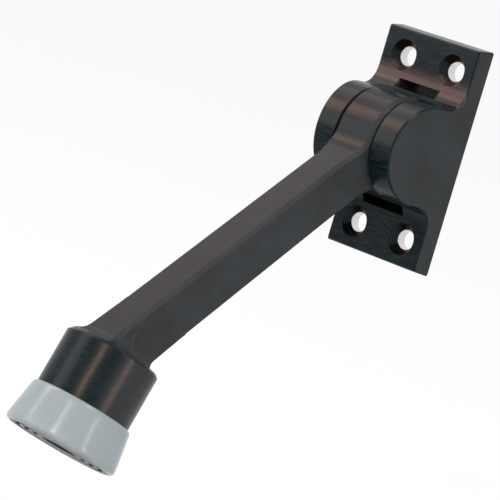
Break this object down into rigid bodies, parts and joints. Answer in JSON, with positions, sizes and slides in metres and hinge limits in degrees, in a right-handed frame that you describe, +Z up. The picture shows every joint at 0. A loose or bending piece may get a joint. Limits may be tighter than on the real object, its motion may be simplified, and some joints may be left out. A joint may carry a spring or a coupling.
{
  "type": "kick-down door holder",
  "caption": "Door holder for the foot of a door: a slotted screw-on base, a hinged lever with a cup, and a rubber tip that grips the floor.",
  "frame": {"origin": "middle of the base's flat back, which lies against the door, level with the middle of the four screw holes", "axes": "+Z up, +Y into the door, +X to the right of someone facing the door; the lever reaches out towards -Y and hangs down"},
  "size_m": [0.0286, 0.102, 0.1093],
  "materials": {
    "dark_bronze_casting": "oil-rubbed dark bronze, satin, brushed on its front faces",
    "steel_pin": "darkened steel",
    "bright_steel": "ground",
    "washer_brass": "plain",
    "tip_rubber": "pale grey, smooth moulded"
  },
  "bodies": {
    "base_body": {"base": "dark_bronze_casting", "pivot_pin": "steel_pin", "left_thrust_washer": "washer_brass", "right_thrust_washer": "washer_brass"},
    "lever_body": {"lever": "dark_bronze_casting", "rubber_tip": "tip_rubber", "detent_spring": "bright_steel"},
    "ball_body": {"detent_ball": "bright_steel"}
  },
  "joints": [
    {"name": "lever_hinge", "type": "hinge", "parent": "base_body", "child": "lever_body", "pos_m": [0, -0.012, 0.0005], "axis": [-1, 0, 0], "range_deg": [-40, 109]},
    {"name": "ball_slide", "type": "slide", "parent": "lever_body", "child": "ball_body", "axis": [1, 0, 0], "range_m": [0, 0.0005], "stiffness_N_per_m": 800, "springref_m": -0.002, "deforming": ["detent_spring"]}
  ]
}
